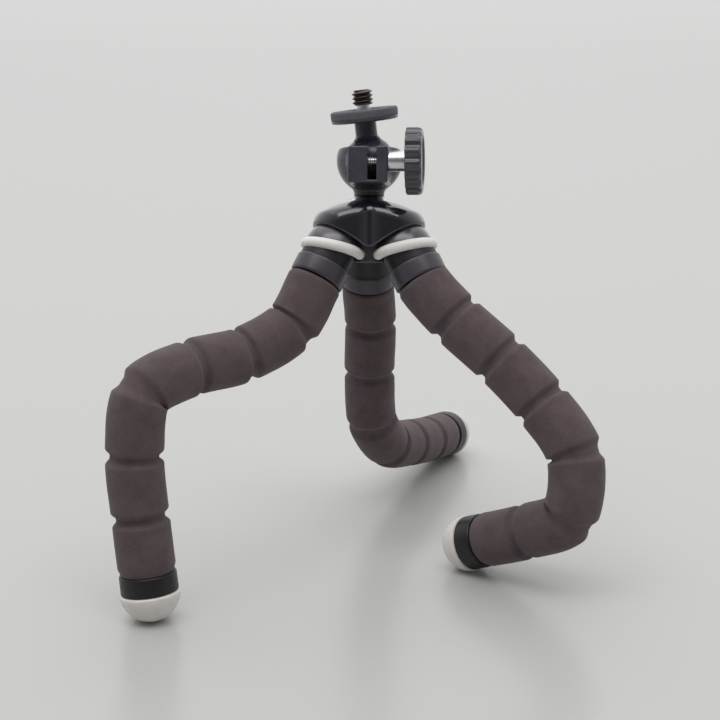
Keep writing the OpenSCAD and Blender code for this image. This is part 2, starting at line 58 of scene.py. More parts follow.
JOINTS = {j["name"]: j for j in frame["joints"]}
MOUNTS = {m["name"]: m for m in frame["record"]["mounts"]}
SIDES = ("left", "right", "back")
HEADING = {"left": 210, "right": 330, "back": 90}

# Leg sizes
FOAM_R = 8.3
GROOVE_DEPTH = 1.35
GROOVE_FLOOR = 0.45
GROOVE_END = 2.3
BEND_REACH = 1.6
# Share of a bend that the segments beside it take up as a bow
BOW = 0.42
END_ROUND = 0.7
END_LENGTH = 1.1
END_GAP = 0.15
LAST_LENGTH = 16.2
WIRE_R = 1.5
BORE_R = 1.75
WIRE_ROOT = 9.5
WIRE_TIP = 3.7
FOOT_COLLAR_R = 8.25
FOOT_COLLAR_LENGTH = 5.7
FOOT_COLLAR_FLARE = 0.08
FOOT_R = 8.75
FOOT_LIP = 0.45
FOOT_LIP_INSET = 0.6
FOOT_LIP_EDGE = 0.08
FOOT_DOME_START = 0.09
FOOT_CENTRE = 8.55
COLLAR_R = 8.25
COLLAR_LENGTH = 5.9
COLLAR_FLARE = 0.05
SEAT_GAP = 0.1
EXIT_TILT = math.radians(29.5)

# Rings of the leg meshes, and the room that a stretch leaves at its ends when it turns
JOINTS_PER_LEG = 7
LAST_JOINT = JOINTS_PER_LEG - 1
FOAM_SIDES = 64
GROOVE_ZONE = 4.2
GROOVE_STEP = 0.3
RING_GAP = 0.2
BULGE_RINGS = 13
BORE_ZONE = 3
BORE_RINGS = 9
WIRE_SIDES = 16
WIRE_RINGS = 13
SKIN_SPOT = 4.5
SKIN_DEPTH = 0.07

# Hub sizes
ROOT_REACH = 18.5
ROOT_DROP = 10
LOBE_ROUND = 2.4
LOBE_R = 10.5
DOME_TOP = 15.6
DOME_R = 30
LOBE_REACH = 7.6
VISOR_SLOPE = math.radians(33)
VISOR_HEIGHT = 7.4
VALLEY_HEIGHT = 0.2
HOOD_WALL = 1.5
POST_R = 5.8
BOSS_R = 6.0
BOSS_FOOT = 13.05
CORE_TOP = 7
CORE_GAP = 0.05
BOLT_R = 2.6
BOLT_END = 18.7
HOOD_CREASE = 1.2
HOOD_EDGE = 0.5
HOOD_CELL = 0.36

# Head sizes
BALL_HEIGHT = 27
BALL_R = 7.6
CUP_R = 10
CUP_RIM = 3.6
MOUTH_R = 7.1
NECK_R = 4.6
NECK_FOOT = 16
NECK_FILLET = 1.2
NECK_GAP = 0.02
BALL_GAP = 0.15
STEM_R = 3.3
STEM_FLARE = 0.9
STEM_FLARE_RISE = 1.0
STEM_GAP = 0.05
PLATE_HEIGHT = 12
PLATE_R = 10.25
PLATE_THICK = 1.1
PLATE_EDGE = 0.5
PAD_THICK = 2.6
PAD_EDGE = 0.45
PAD_DISH_R = 5.4
PAD_DISH = 0.3
STUD_R = 3.175
STUD_LENGTH = 5.8
STUD_NECK = 1.4
STUD_NECK_R = 2.075
STUD_PITCH = 1.27
STUD_ROOT = PLATE_HEIGHT - PAD_THICK
STUD_THREAD_DEPTH = 0.72
STUD_RUNOUT = 0.2
STUD_GAP = 0.1
STUD_SEAT_GAP = 0.3
EAR_LEFT = -5.0
EAR_RIGHT = 6.9
EAR_REACH = 15.5
EAR_TOP = 2.8
EAR_BOTTOM = 8
EAR_ROUND = 0.55
EAR_FILLET = 0.8
SLOT_LEFT = 0.9
SLOT_RIGHT = 3.5
SLOT_BRIDGE = 0.8
SCREW_REACH = 12.2
SCREW_DROP = 1.5
SCREW_R = 1.5
SCREW_PITCH = 0.7
SCREW_THREAD_DEPTH = 0.4
SCREW_GAP = 0.3
SCREW_GRIP = 3.3
GRIP_GAP = 0.05
NUT_FLATS = 5.5
NUT_SEAT = 1.7
NUT_PROUD = 0.7
NUT_GAP = 0.15
SLEEVE_R = 3.05
SLEEVE_GAP = 0.1
SLEEVE_LENGTH = 5.3
SLEEVE_END = EAR_RIGHT + SLEEVE_LENGTH
KNOB_R = 10
KNOB_THICK = 5
KNOB_CHAMFER = 0.8
KNOB_FLUTES = 16
FLUTE_R = 1.3
FLUTE_DEPTH = 0.7
KNOB_RECESS_R = 7.5
KNOB_RECESS = 0.5
HEAD_CELL = 0.27

# Mesh fineness, and the angles in degrees over which an edge stays sharp
LATHE_SIDES = 96
CORNER_STEPS = 4
CORNER_SHARE = 0.45
SHARP_TURNED = 35
SHARP_THREAD = 50
SHARP_SOFT = 60
SLOPE_STEP = 0.02
SLOPE_LEAST = 0.05
SURFACE_ROUNDS = 5
RELAX_ROUNDS = 2
RELAX_SHARE = 0.6

# Thread form, in pitches
THREAD_FLANK = 2.6
THREAD_CREST = 0.15
THREAD_FADE = 0.5


def unit(v):
    return v / np.linalg.norm(v)


def turned(points, axis, angle):
    """Points turned about an axis through the origin, each by its own angle."""
    c, s = np.cos(angle)[..., None], np.sin(angle)[..., None]
    along = (points @ axis)[..., None] * axis
    return points * c + np.cross(axis, points) * s + along * (1 - c)


class Axes:
    """A local frame: an origin in millimetres and three unit axes."""

    def __init__(self, origin, x, z):
        self.origin = np.array(origin, float)
        self.x, self.z = unit(np.array(x, float)), unit(np.array(z, float))
        self.y = np.cross(self.z, self.x)
        self.rows = np.array([self.x, self.y, self.z])

    def placed(self, points):
        return self.origin + np.asarray(points, float) @ self.rows

    def moved(self, x=0, y=0, z=0):
        return Axes(self.placed((x, y, z)), self.x, self.z)

    def about_z(self, angle):
        return Axes(self.origin, math.cos(angle) * self.x + math.sin(angle) * self.y, self.z)

    def leaned(self, angle):
        """Turned about y, so that z leans back over -x."""
        c, s = math.cos(angle), math.sin(angle)
        return Axes(self.origin, c * self.x + s * self.z, c * self.z - s * self.x)


def joint_point(name):
    return np.array(JOINTS[name]["pos_m"]) / MM


def joint_axis(name):
    return unit(np.array(JOINTS[name]["axis"]))


# Frames of the hub and the head, from the joints

def hub_axes():
    """The hub's frame, from the points where its three legs start."""
    left, right, back = (joint_point(f"{side}_bend_1") for side in SIDES)
    up = unit(np.cross(right - left, back - left))
    middle = (left + right + back) / 3
    return Axes(middle + ROOT_DROP * up, np.cross(back - middle, up), up)


HUB = hub_axes()
BALL = HUB.moved(z=BALL_HEIGHT)
CUP = Axes(BALL.origin, joint_axis("clamp_travel"), HUB.z)
CLAMP = Axes(joint_point("clamp_turn"), -HUB.z, joint_axis("clamp_travel"))
HEAD_UP = joint_axis("head_pan")
HEAD = Axes(BALL.origin, np.cross(joint_axis("head_side_tilt"), HEAD_UP), HEAD_UP)


def leg_root(side):
    return HUB.about_z(math.radians(HEADING[side]))


def collar_axes(side):
    """At the leg's start, z up the collar towards the hub."""
    return leg_root(side).moved(x=ROOT_REACH, z=-ROOT_DROP).leaned(EXIT_TILT)


class Leg:
    """The chain of one leg: joint points, segment directions and hinges, from the frame."""

    def __init__(self, side):
        self.side = side
        points = [joint_point(f"{side}_bend_{k}") for k in range(1, JOINTS_PER_LEG + 1)]
        foot = np.array(MOUNTS[f"{side}_foot"]["pos_m"]) / MM + (0, 0, FOOT_CENTRE)
        last = unit(foot - points[6])
        points.append(points[6] + LAST_LENGTH * last)
        self.points = points
        self.aims = [-collar_axes(side).z]
        self.aims += [unit(b - a) for a, b in zip(points[:6], points[1:7])] + [last]
        self.lengths = [np.linalg.norm(b - a) for a, b in zip(points[:-1], points[1:])]
        self.hinges = [joint_axis(f"{side}_bend_{k}") for k in range(1, JOINTS_PER_LEG + 1)]
        self.bends = [math.acos(min(1.0, a @ b)) for a, b in zip(self.aims[:-1], self.aims[1:])]
        # A direction across the leg, carried from bend to bend
        self.across = [unit(np.cross(self.hinges[0], self.aims[0]))]
        for hinge, bend in zip(self.hinges, self.bends):
            self.across.append(turned(self.across[-1], hinge, np.array(bend)))
        self.foot = Axes(points[7], self.across[7], last)

    def bodies(self, k):
        """The two bodies that joint k of the leg joins."""
        return ("hub" if k == 0 else f"{self.side}_leg_{k}"), f"{self.side}_leg_{k + 1}"


LEGS = [Leg(side) for side in SIDES]


# Meshes


def mesh_object(name, points, faces, smooth_angle):
    """A new object from points in millimetres, smooth but for edges over smooth_angle degrees."""
    mesh = bpy.data.meshes.new(name)
    mesh.from_pydata((np.asarray(points) * MM).tolist(), [], [list(f) for f in faces])
    mesh.validate()
    mesh.shade_smooth()
    mesh.set_sharp_from_angle(angle=math.radians(smooth_angle))
    obj = bpy.data.objects.new(name, mesh)
    bpy.context.scene.collection.objects.link(obj)
    return obj


def grid_faces(rows, columns, start=0):
    """Quads of a grid that closes round its columns."""
    faces = []
    for r in range(rows - 1):
        for c in range(columns):
            d = (c + 1) % columns
            a, b = start + r * columns, start + (r + 1) * columns
            faces.append((a + c, a + d, b + d, b + c))
    return faces


def dressed(obj, body, slot, material, *nodes):
    """Gives a new piece its material and body, and hides the nodes that it stands for; slot is not used."""
    obj.data.materials.append(material)
    if nodes:
        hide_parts(*nodes)
    if body:
        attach(obj, body)
    return obj


def rounded(outline):
    """An outline of (r, z, corner radius) points as (r, z) points with arcs at its corners."""
    done = []
    count = len(outline)
    for i, (r, z, radius) in enumerate(outline):
        p = np.array((r, z), float)
        before = np.array(outline[i - 1][:2], float) - p
        after = np.array(outline[(i + 1) % count][:2], float) - p
        if radius <= 0:
            done.append(p)
            continue
        reach = min(radius, CORNER_SHARE * np.linalg.norm(before), CORNER_SHARE * np.linalg.norm(after))
        start, end = p + unit(before) * reach, p + unit(after) * reach
        for t in np.linspace(0, 1, CORNER_STEPS + 1):
            done.append((1 - t) ** 2 * start + 2 * t * (1 - t) * p + t**2 * end)
    return done


def lathe(name, axes, outline):
    """A solid of revolution about z. The closed outline runs anticlockwise, r to the right and z up."""
    profile, sides = rounded(outline), LATHE_SIDES
    turn = np.arange(sides) * 2 * math.pi / sides
    ring = np.stack([np.cos(turn), np.sin(turn)], -1)
    points, faces, rows = [], [], []
    for r, z in profile:
        if r < 1e-6:
            rows.append([len(points)] * sides)
            points.append((0.0, 0.0, z))
        else:
            rows.append(list(range(len(points), len(points) + sides)))
            points.extend((r * x, r * y, z) for x, y in ring)
    for low, high in zip(rows, rows[1:] + rows[:1]):
        for c in range(sides):
            d = (c + 1) % sides
            face = [low[c], low[d], high[d], high[c]]
            face = [v for i, v in enumerate(face) if v != face[i - 1]]
            if len(face) > 2:
                faces.append(face)
    return mesh_object(name, axes.placed(points), faces, SHARP_TURNED)


def threaded_rod(name, axes, outline, pitch, depth, first, last, sides=72, step=0.09):
    """A turned rod with a real thread between two heights. outline gives (z, r) points upwards."""
    low, high = outline[0][0], outline[-1][0]
    z = np.linspace(low, high, int((high - low) / step))
    turn = np.arange(sides) * 2 * math.pi / sides
    zz, tt = np.meshgrid(z, turn, indexing="ij")
    radius = np.interp(z, [p[0] for p in outline], [p[1] for p in outline])[:, None]
    phase = (zz / pitch - tt / (2 * math.pi)) % 1
    valley = np.clip(np.abs(phase - 0.5) * THREAD_FLANK - THREAD_CREST, 0, 1)
    run = THREAD_FADE * pitch
    fade = np.clip((zz - first) / run, 0, 1) * np.clip((last - zz) / run, 0, 1)
    rr = radius - depth * valley * fade
    points = np.stack([rr * np.cos(tt), rr * np.sin(tt), zz], -1).reshape(-1, 3)
    count = len(points)
    faces = grid_faces(len(z), sides) + [tuple(range(sides))[::-1], tuple(range(count - sides, count))]
    return mesh_object(name, axes.placed(points), faces, SHARP_THREAD)


# Surfaces of distance fields


def joined(a, b, soft):
    """Union of two distances, with a fillet."""
    h = np.maximum(soft - np.abs(a - b), 0) / soft
    return np.minimum(a, b) - h * h * soft / 4


def common(a, b, soft):
    """Intersection of two distances, with a rounded edge."""
    return -joined(-a, -b, soft)


def cut(a, b, soft):
    """Distance a with b taken away, with a rounded edge."""
    return -joined(-a, b, soft)


def block(p, low, high, soft):
    """A box with rounded edges."""
    middle, half = (np.array(low) + high) / 2, (np.array(high) - low) / 2
    q = np.abs(p - middle) - half + soft
    return np.linalg.norm(np.maximum(q, 0), axis=-1) + np.minimum(q.max(-1), 0) - soft


def ball_distance(p, r, z=0.0):
    return np.linalg.norm(p - (0, 0, z), axis=-1) - r


def rod(p, r, low, high, soft):
    """A cylinder about z with rounded ends."""
    side = np.hypot(p[:, 0], p[:, 1]) - r
    return common(side, np.abs(p[:, 2] - (low + high) / 2) - (high - low) / 2, soft)


def surface_points(field, points, cell):
    """Points drawn onto the zero surface of a field."""
    h = SLOPE_STEP
    for _ in range(SURFACE_ROUNDS):
        value = field(points)
        slope = np.stack([(field(points + e) - field(points - e)) / (2 * h) for e in h * np.eye(3)], -1)
        step = value[:, None] * slope / np.maximum((slope**2).sum(-1, keepdims=True), SLOPE_LEAST)
        points = points - np.clip(step, -cell, cell)
    return points


def moulded(name, axes, field, low, high, cell):
    """A closed quad mesh of a distance field's zero surface, one point for each cell that it crosses."""
    lines = [np.arange(a, b + cell, cell) for a, b in zip(low, high)]
    grid = np.stack(np.meshgrid(*lines, indexing="ij"), -1)
    inside = field(grid.reshape(-1, 3)).reshape(grid.shape[:3]) < 0
    n = np.array(inside.shape) - 1
    corners = sum(
        inside[i : i + n[0], j : j + n[1], k : k + n[2]].astype(int)
        for i in (0, 1)
        for j in (0, 1)
        for k in (0, 1)
    )
    mixed = (corners > 0) & (corners < 8)
    index = np.full(mixed.shape, -1)
    index[mixed] = np.arange(mixed.sum())
    points = grid[:-1, :-1, :-1][mixed] + cell / 2
    quads = []
    for a in range(3):
        b, c = (a + 1) % 3, (a + 2) % 3
        eb, ec = np.eye(3, dtype=int)[b], np.eye(3, dtype=int)[c]
        first = np.take(inside, range(n[a]), axis=a)
        second = np.take(inside, range(1, n[a] + 1), axis=a)
        at = np.argwhere(first != second)
        quad = np.stack([index[tuple((at - o).T)] for o in (eb + ec, ec, 0 * eb, eb)], -1)
        back = ~first[tuple(at.T)]
        quad[back] = quad[back][:, ::-1]
        quads.append(quad)
    quads = np.concatenate(quads)
    points = surface_points(field, points, cell)
    for _ in range(RELAX_ROUNDS):
        total, count = np.zeros_like(points), np.zeros(len(points))
        for i in range(4):
            np.add.at(total, quads[:, i], points[quads[:, i - 1]] + points[quads[:, (i + 1) % 4]])
            np.add.at(count, quads[:, i], 2)
        relaxed = (1 - RELAX_SHARE) * points + RELAX_SHARE * total / count[:, None]
        points = surface_points(field, relaxed, cell)
    return mesh_object(name, axes.placed(points), quads.tolist(), SHARP_SOFT)


# Materials


class Surface:
    """A principled material with a few node helpers.

    Noise is in object coordinates, so it runs on over seams."""

    def __init__(self, name, color, roughness, **sockets):
        self.material = bpy.data.materials.new(name)
        self.material.use_nodes = True
        self.nodes = self.material.node_tree.nodes
        self.links = self.material.node_tree.links
        self.shader = self.nodes["Principled BSDF"]
        self.shader.inputs["Base Color"].default_value = (*color, 1)
        self.shader.inputs["Roughness"].default_value = roughness
        for socket, value in sockets.items():
            self.shader.inputs[socket.replace("_", " ")].default_value = value
        self.where = self.nodes.new("ShaderNodeTexCoord").outputs["Object"]
        self.material.diffuse_color = (*color, 1)

    def noise(self, size, detail=3.0, rough=0.55, stretch=None):
        """A noise whose spots are about size millimetres wide."""
        node = self.nodes.new("ShaderNodeTexNoise")
        node.inputs["Scale"].default_value = 1 / (size * MM)
        node.inputs["Detail"].default_value = detail
        node.inputs["Roughness"].default_value = rough
        source = self.where
        if stretch:
            mapping = self.nodes.new("ShaderNodeMapping")
            mapping.inputs["Scale"].default_value = stretch
            self.links.new(source, mapping.inputs["Vector"])
            source = mapping.outputs["Vector"]
        self.links.new(source, node.inputs["Vector"])
        return node.outputs["Fac"]

    def cells(self, size):
        """Distance to the nearest of scattered points about size millimetres apart."""
        node = self.nodes.new("ShaderNodeTexVoronoi")
        node.inputs["Scale"].default_value = 1 / (size * MM)
        self.links.new(self.where, node.inputs["Vector"])
        return node.outputs["Distance"]

    def ramp(self, source, stops):
        """A colour ramp over a factor. stops are (place, colour)."""
        node = self.nodes.new("ShaderNodeValToRGB")
        while len(node.color_ramp.elements) < len(stops):
            node.color_ramp.elements.new(0.5)
        for element, (place, color) in zip(node.color_ramp.elements, stops):
            element.position = place
            element.color = (*color, 1)
        self.links.new(source, node.inputs["Fac"])
        return node.outputs["Color"]

    def math(self, operation, a, b):
        node = self.nodes.new("ShaderNodeMath")
        node.operation = operation
        for socket, value in zip(node.inputs, (a, b)):
            if isinstance(value, (int, float)):
                socket.default_value = value
            else:
                self.links.new(value, socket)
        return node.outputs["Value"]

    def spread(self, source, low, high):
        """A factor from 0.3 to 0.7 spread from low to high."""
        node = self.nodes.new("ShaderNodeMapRange")
        node.inputs["From Min"].default_value = 0.3
        node.inputs["From Max"].default_value = 0.7
        node.inputs["To Min"].default_value = low
        node.inputs["To Max"].default_value = high
        self.links.new(source, node.inputs["Value"])
        return node.outputs["Result"]

    def color(self, source):
        self.links.new(source, self.shader.inputs["Base Color"])
        return self

    def roughness(self, source):
        self.links.new(source, self.shader.inputs["Roughness"])
        return self

    def bump(self, height, strength, depth):
        """Relief of depth millimetres."""
        node = self.nodes.new("ShaderNodeBump")
        node.inputs["Strength"].default_value = strength
        node.inputs["Distance"].default_value = depth * MM
        self.links.new(height, node.inputs["Height"])
        self.links.new(node.outputs["Normal"], self.shader.inputs["Normal"])
        return self


def shades(color, share):
    """A colour made darker and lighter by a share."""
    return tuple(c * (1 - share) for c in color), tuple(min(1.0, c * (1 + share)) for c in color)


def gloss_plastic(name, color, roughness, polish, polish_roughness=0.06):
    """Moulded plastic: faint haze, fine orange peel and a trace of handling under a polish."""
    wear = 0.06
    s = Surface(name, color, roughness, Specular_IOR_Level=0.5, Coat_Weight=polish)
    s.shader.inputs["Coat Roughness"].default_value = polish_roughness
    dark, light = shades(color, 0.18)
    haze = s.noise(6, 4)
    s.color(s.ramp(haze, [(0.35, dark), (0.7, light)]))
    smear = s.noise(1.4, 5, 0.65)
    s.roughness(s.spread(smear, max(0.03, roughness - wear), roughness + wear))
    s.bump(s.noise(0.9, 2), 0.12, 0.02)
    return s.material


def foam_material():
    """Closed-cell foam: matte, with a fine grain of cells and cloudy shade."""
    color = (0.112, 0.083, 0.089)
    s = Surface("foam", color, 0.88, Specular_IOR_Level=0.25, Sheen_Weight=0.12, Sheen_Roughness=0.5)
    dark, light = shades(color, 0.3)
    grain = s.noise(0.32, 4, 0.7)
    cloud = s.noise(5, 3)
    mix = s.math("ADD", s.math("MULTIPLY", grain, 0.62), s.math("MULTIPLY", cloud, 0.38))
    s.color(s.ramp(mix, [(0.34, dark), (0.5, color), (0.68, light)]))
    pores = s.cells(0.42)
    height = s.math("ADD", s.math("MULTIPLY", grain, 0.7), s.math("MULTIPLY", pores, 0.5))
    s.bump(height, 0.55, 0.12)
    s.roughness(s.spread(grain, 0.8, 0.96))
    return s.material


def white_rubber_material(name, color, soil_share):
    """Soft warm white rubber with faint soil."""
    s = Surface(name, color, 0.42, Specular_IOR_Level=0.45, Subsurface_Weight=0.08)
    s.shader.inputs["Subsurface Radius"].default_value = (0.002, 0.0015, 0.001)
    soil = s.noise(3.2, 5, 0.6)
    soiled, clean = shades(color, soil_share)[0], shades(color, 0.03)[1]
    s.color(s.ramp(soil, [(0.3, soiled), (0.55, color), (0.8, clean)]))
    s.roughness(s.spread(s.noise(0.7, 3), 0.34, 0.5))
    s.bump(s.noise(0.5, 3), 0.15, 0.03)
    return s.material


def pad_rubber_material():
    """Matte rubber facing with a fine grip grain."""
    color = (0.125, 0.115, 0.133)
    s = Surface("pad_rubber", color, 0.7, Specular_IOR_Level=0.4)
    dark, light = shades(color, 0.25)
    grain = s.noise(0.35, 3, 0.6)
    s.color(s.ramp(grain, [(0.35, dark), (0.65, light)]))
    s.roughness(s.spread(grain, 0.58, 0.8))
    s.bump(grain, 0.4, 0.08)
    return s.material


def metal_material(name, color, roughness, stretch):
    """Turned metal: fine tool lines and uneven polish."""
    s = Surface(name, color, roughness, Metallic=1.0)
    dark, light = shades(color, 0.12)
    lines = s.noise(0.5, 4, 0.6, stretch)
    s.color(s.ramp(s.noise(2.5, 4), [(0.35, dark), (0.7, light)]))
    s.roughness(s.spread(lines, roughness * 0.6, roughness * 1.5))
    s.bump(lines, 0.12, 0.015)
    return s.material


MATERIALS = {
    "foam": foam_material(),
    "hub_plastic": gloss_plastic("hub_plastic", (0.012, 0.0105, 0.018), 0.16, polish=0.8),
    "knuckle_plastic": gloss_plastic(
        "knuckle_plastic", (0.055, 0.045, 0.056), 0.3, 1.0, polish_roughness=0.24),
    "head_plastic": gloss_plastic("head_plastic", (0.06, 0.058, 0.077), 0.25, polish=0.1),
    "knob_plastic": gloss_plastic("knob_plastic", (0.044, 0.039, 0.05), 0.3, 0.6, polish_roughness=0.15),
    "collar_plastic": gloss_plastic("collar_plastic", (0.05, 0.042, 0.055), 0.4, 0.2, polish_roughness=0.3),
    # Near-black plastic: painted shade on the hub's body below the bands
    "painted_band_shade_plastic": gloss_plastic("painted_band_shade_plastic", (0.008, 0.0075, 0.0115), 0.45, polish=0.0),
    "foot_plastic": gloss_plastic("foot_plastic", (0.0065, 0.005, 0.0055), 0.4, polish=0.0),
    "white_rubber": white_rubber_material("white_rubber", (0.80, 0.765, 0.725), 0.08),
    # A lighter copy of the white rubber for the bands: painted light, where light from above falls on them
    "band_rubber_painted_light": white_rubber_material("band_rubber_painted_light", (0.90, 0.87, 0.85), 0.04),
    "pad_rubber": pad_rubber_material(),
    "stud_metal": metal_material("stud_metal", (0.11, 0.085, 0.085), 0.32, (1, 1, 9)),
    "bright_metal": metal_material("bright_metal", (0.74, 0.74, 0.75), 0.26, (9, 1, 1)),
    "steel": metal_material("steel", (0.52, 0.52, 0.53), 0.34, (1, 1, 1)),
}


# Legs


def groove(s):
    """Depth share of the groove at a distance from its middle."""
    t = np.clip((np.abs(s) - GROOVE_FLOOR) / (GROOVE_END - GROOVE_FLOOR), 0, 1)
    return 1 - t * t * (3 - 2 * t)


def bend_share(u):
    """0 before -1, 1 after 1 and straight between, with soft corners."""
    soft = 0.3
    near = 1 - np.clip(np.abs(u), 0, 1)
    half = np.where(near < soft, near**2 / (2 * soft), near - soft / 2) / (2 - soft)
    return np.where(u < 0, half, 1 - half)


def swung(v, a, b):
    """Vectors turned as a is turned onto b, by the shortest way."""
    w = np.cross(a, b)
    once = np.cross(w, v)
    return v + once + np.cross(w, once) / (1 + (a * b).sum(-1, keepdims=True))


def bowed(leg, j, t):
    """How far segment j's middle line is off its straight line at the shares t, and its direction there.

    A segment leaves its joints part of the way towards its neighbours, so that it bows between them."""
    aim = leg.aims[j]
    if j == 0:
        return np.zeros((*t.shape, 3)), np.broadcast_to(aim, (*t.shape, 3))
    start = BOW * (leg.aims[j - 1] - aim)
    end = BOW * (leg.aims[j + 1] - aim) if j < JOINTS_PER_LEG else 0 * aim
    t = t[..., None]
    off = leg.lengths[j - 1] * (t * (1 - t) ** 2 * start - t**2 * (1 - t) * end)
    way = aim + (1 - t) * (1 - 3 * t) * start + t * (3 * t - 2) * end
    return off, way / np.linalg.norm(way, axis=-1, keepdims=True)


def bent(leg, k, s, r, angle):
    """Points of joint k's stretch of a leg: s along it, r and angle round it, bent at the joint.

    The outer side stretches over the groove's floor and the inner side is pressed together."""
    hinge = leg.hinges[k]
    ends = [bowed(leg, k, np.ones(1))[1][0], bowed(leg, k + 1, np.zeros(1))[1][0]]
    theta = math.acos(min(1.0, ends[0] @ ends[1]))
    done = []
    for j, length, end in ((k, leg.lengths[k - 1], 1), (k + 1, leg.lengths[k], 0)):
        aim, across = leg.aims[j], leg.across[j]
        radial = np.cos(angle)[..., None] * across + np.sin(angle)[..., None] * np.cross(aim, across)
        reach = BEND_REACH + np.maximum(r * (radial @ np.cross(hinge, aim)), 0) * theta / 2
        off, way = bowed(leg, j, np.clip(end + s / length, 0, 1))
        ring = s[..., None] * aim + off + swung(r[..., None] * radial, aim, way)
        done.append(turned(ring, hinge, (bend_share(s / reach) - 1 + end) * theta))
    return leg.points[k] + np.where(s[..., None] < 0, *done)


def stretch_ends(leg, k, root, tip):
    """Where joint k's stretch starts and ends, from the joint: halfway to the next joints."""
    before = root if k == 0 else -leg.lengths[k - 1] / 2
    after = tip if k == LAST_JOINT else leg.lengths[k] / 2
    return before, after


def ring_points(leg, k, s, r, sides):
    angle = np.arange(sides) * 2 * math.pi / sides
    ss, aa = np.meshgrid(s, angle, indexing="ij")
    return bent(leg, k, ss, np.broadcast_to(np.asarray(r)[:, None], ss.shape), aa)


def skin_noise(points, size, depth):
    """How far a smooth noise of their place pushes points in or out."""
    values = [noise.noise(Vector(p / size)) for p in points.reshape(-1, 3)]
    return np.array(values).reshape(points.shape[:-1]) * depth


def foam_piece(leg, k):
    """One stretch of a foam sleeve, from mid bulge to mid bulge, with the wire's bore."""
    before, after = stretch_ends(leg, k, END_GAP, leg.lengths[LAST_JOINT])
    steps = round(GROOVE_ZONE / GROOVE_STEP)
    fine = -GROOVE_ZONE + np.arange(2 * steps + 1) * GROOVE_STEP
    coarse = np.linspace(before, after, BULGE_RINGS)
    near = fine[(fine > before + RING_GAP) & (fine < after - RING_GAP)]
    far = coarse[np.abs(coarse) > GROOVE_ZONE + RING_GAP]
    s = np.unique(np.concatenate([near, far, [before, after]]))
    r = FOAM_R - GROOVE_DEPTH * groove(s)
    if k == 0:
        r = FOAM_R - END_ROUND * np.clip(1 - s / END_LENGTH, 0, 1) ** 2
    if k == LAST_JOINT:
        r = r - END_ROUND * np.clip(1 - (after - s) / END_LENGTH, 0, 1) ** 2
    outer = ring_points(leg, k, s, r, FOAM_SIDES)
    centre = outer.mean(1, keepdims=True)
    out = outer - centre
    out = out / np.linalg.norm(out, axis=-1, keepdims=True)
    outer = outer + out * skin_noise(outer, SKIN_SPOT, SKIN_DEPTH)[..., None]
    bore_low = max(before + GROOVE_STEP, -BORE_ZONE)
    bore_s = np.array([before, *np.linspace(bore_low, BORE_ZONE, BORE_RINGS), after])
    bore = ring_points(leg, k, bore_s, np.full(len(bore_s), BORE_R), FOAM_SIDES)
    points = np.concatenate([outer.reshape(-1, 3), bore.reshape(-1, 3)])
    inner = len(s) * FOAM_SIDES
    faces = grid_faces(len(s), FOAM_SIDES)
    faces += [f[::-1] for f in grid_faces(len(bore_s), FOAM_SIDES, inner)]
    last_outer, last_inner = inner - FOAM_SIDES, len(points) - FOAM_SIDES
    for c in range(FOAM_SIDES):
        d = (c + 1) % FOAM_SIDES
        faces.append((inner + c, inner + d, d, c))
        faces.append((last_outer + c, last_outer + d, last_inner + d, last_inner + c))
    obj = mesh_object(f"{leg.side}_sleeve_{k + 1}", points, faces, SHARP_SOFT)
    dressed(obj, None, "foam", MATERIALS["foam"], f"{leg.side}_foam_{k + 1}")
    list(leg.bodies(k))
    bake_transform(obj)


def wire_piece(leg, k):
    """One stretch of the core wire, drawn along the sleeve's bends."""
    before, after = stretch_ends(leg, k, -WIRE_ROOT, leg.lengths[LAST_JOINT] + WIRE_TIP)
    s = np.array([before, *np.linspace(-BORE_ZONE, BORE_ZONE, WIRE_RINGS), after])
    sides = WIRE_SIDES
    points = ring_points(leg, k, s, np.full(len(s), WIRE_R), sides).reshape(-1, 3)
    count = len(points)
    faces = grid_faces(len(s), sides) + [tuple(range(sides))[::-1], tuple(range(count - sides, count))]
    obj = mesh_object(f"{leg.side}_core_{k + 1}", points, faces, SHARP_THREAD)
    dressed(obj, None, "steel", MATERIALS["steel"], *([f"{leg.side}_wire"] if k == 0 else []))
    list(leg.bodies(k))
    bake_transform(obj)


def foot_pieces(leg):
    side, length = leg.side, FOOT_COLLAR_LENGTH
    collar = lathe(f"{side}_foot_ring", leg.foot, [
        (BORE_R, SEAT_GAP, 0), (FOOT_COLLAR_R - 0.25, SEAT_GAP, 0.3), (FOOT_COLLAR_R, 0.5, 0.4),
        (FOOT_COLLAR_R + FOOT_COLLAR_FLARE, length - SEAT_GAP, 0.25), (BORE_R, length - SEAT_GAP, 0)])
    dressed(collar, f"{side}_leg_7", "collar_plastic", MATERIALS["foot_plastic"], f"{side}_foot_collar")
    turns = np.linspace(FOOT_DOME_START, math.pi / 2, 25)
    dome = [(FOOT_R * math.cos(a), length + FOOT_R * math.sin(a), 0) for a in turns]
    lip = [(0, length, 0), (FOOT_R - FOOT_LIP_INSET, length, 0.3)]
    lip.append((FOOT_R - FOOT_LIP_EDGE, length + FOOT_LIP, 0.3))
    cap = lathe(f"{side}_foot_dome", leg.foot, lip + dome)
    # The dome is pressed flat where it stands
    for vertex in cap.data.vertices:
        vertex.co.z = max(vertex.co.z, 0.0)
    dressed(cap, f"{side}_leg_7", "white_rubber", MATERIALS["white_rubber"], f"{side}_foot_cap")


def collar_piece(side):
    collar = lathe(f"{side}_leg_collar", collar_axes(side), [
        (BORE_R, SEAT_GAP, 0), (COLLAR_R - 0.3, SEAT_GAP, 0.35), (COLLAR_R, 0.6, 0.4),
        (COLLAR_R + COLLAR_FLARE, COLLAR_LENGTH - 0.65, 0.4), (COLLAR_R - 0.4, COLLAR_LENGTH, 0.4),
        (BORE_R, COLLAR_LENGTH, 0)])
    dressed(collar, "hub", "collar_plastic", MATERIALS["collar_plastic"], f"{side}_collar")


# Hub


